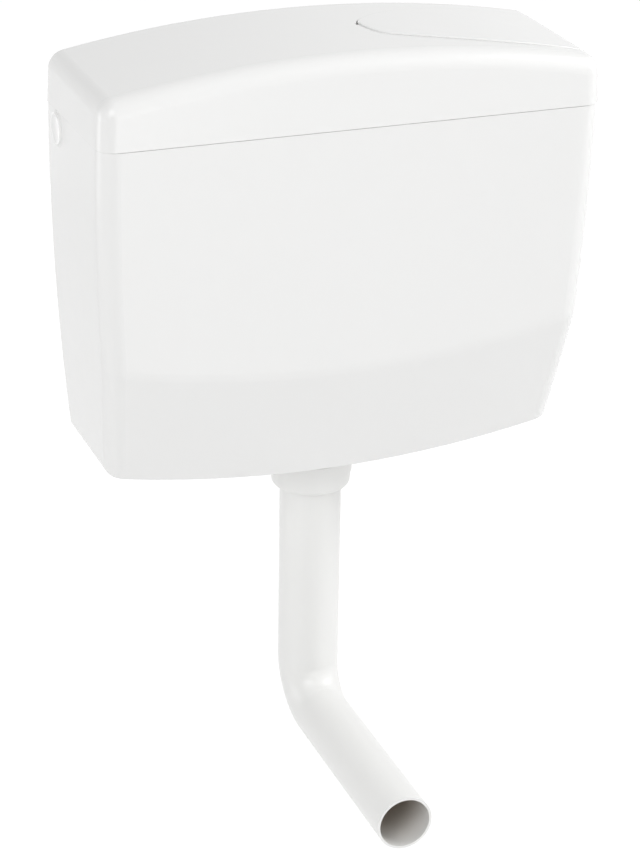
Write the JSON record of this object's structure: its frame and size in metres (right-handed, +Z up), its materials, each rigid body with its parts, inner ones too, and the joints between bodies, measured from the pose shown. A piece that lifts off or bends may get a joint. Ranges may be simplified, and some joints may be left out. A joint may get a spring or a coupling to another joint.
{
  "type": "toilet cistern",
  "caption": "Wall-hung low-level toilet cistern with a lift-off arched lid, a leaf-shaped flush button in it, a flush valve and float valve inside, and a flush bend below.",
  "frame": {"origin": "midway between the two wall screw holes, on the back face of the tank", "axes": "+X right as seen from the front, +Y into the wall, +Z up"},
  "size_m": [0.4232, 0.2592, 0.6012],
  "materials": {
    "shell_white": "gloss",
    "pipe_white": "gloss",
    "inner_white": "satin",
    "inner_grey": "satin",
    "float_foam": "matte",
    "weight_dark": "matte",
    "rubber_black": "matte",
    "strainer_blue": "satin",
    "steel": "satin"
  },
  "bodies": {
    "cistern": {"tank": "shell_white", "lever_bridge": "inner_white", "lever_pin": "steel", "valve_cage": "inner_white", "valve_seat": "inner_white", "seat_gasket": "rubber_black", "outlet_lock_nut": "pipe_white", "outlet_union_nut": "pipe_white", "flush_pipe_seal": "rubber_black", "flush_bend": "pipe_white", "blanking_plug": "shell_white", "blanking_plug_washer": "rubber_black", "blanking_plug_nut": "inner_grey", "fill_valve_body": "inner_grey", "inlet_washer": "rubber_black", "inlet_lock_nut": "inner_grey", "inlet_strainer": "strainer_blue", "valve_diaphragm": "rubber_black", "valve_cap": "inner_grey", "float_arm_pin": "steel", "discharge_tube": "inner_white"},
    "lid": {"lid": "shell_white", "button_pin": "steel", "return_spring": "steel"},
    "button": {"flush_button": "shell_white"},
    "push_rod": {"push_rod": "inner_white"},
    "lever": {"rocker_lever": "inner_white"},
    "flush_valve": {"overflow_tube": "inner_white", "seal_plate": "inner_white", "flush_seal": "rubber_black", "valve_weight": "weight_dark", "lift_rod": "inner_white", "lift_rod_nut": "inner_white"},
    "float": {"float_arm": "inner_grey", "float_screw": "inner_grey", "float_screw_nut": "inner_grey", "float": "float_foam"},
    "plunger": {"valve_plunger": "inner_grey"}
  },
  "joints": [
    {"name": "lid_lift", "type": "slide", "parent": "cistern", "child": "lid", "axis": [0, 0, 1], "range_m": [0, 0.12]},
    {"name": "button_press", "type": "hinge", "parent": "lid", "child": "button", "pos_m": [0.042, -0.057, 0.07323], "axis": [0, 1, 0], "range_deg": [0, 3], "stiffness_Nm_per_rad": 1, "springref_deg": -8.59},
    {"name": "push_rod_travel", "type": "slide", "parent": "lid", "child": "push_rod", "axis": [0, 0, -1], "range_m": [0, 0.004], "deforming": ["return_spring"]},
    {"name": "lever_turn", "type": "hinge", "parent": "cistern", "child": "lever", "pos_m": [0.08, -0.0465, 0.034], "axis": [0, 1, 0], "range_deg": [0, 6]},
    {"name": "flush_valve_lift", "type": "slide", "parent": "cistern", "child": "flush_valve", "axis": [0, 0, 1], "range_m": [0, 0.0084]},
    {"name": "float_fall", "type": "hinge", "parent": "cistern", "child": "float", "pos_m": [0.139, -0.023, 0.005], "axis": [0, 1, 0], "range_deg": [-30, 0]},
    {"name": "plunger_travel", "type": "slide", "parent": "cistern", "child": "plunger", "axis": [1, 0, 0], "range_m": [-0.0033, 0]}
  ],
  "couplings": [
    {"joint": "push_rod_travel", "follows": "button_press", "m_per_rad": 0.076},
    {"joint": "lever_turn", "follows": "button_press", "ratio": 2},
    {"joint": "flush_valve_lift", "follows": "button_press", "m_per_rad": 0.16},
    {"joint": "plunger_travel", "follows": "float_fall", "m_per_rad": 0.0063}
  ]
}
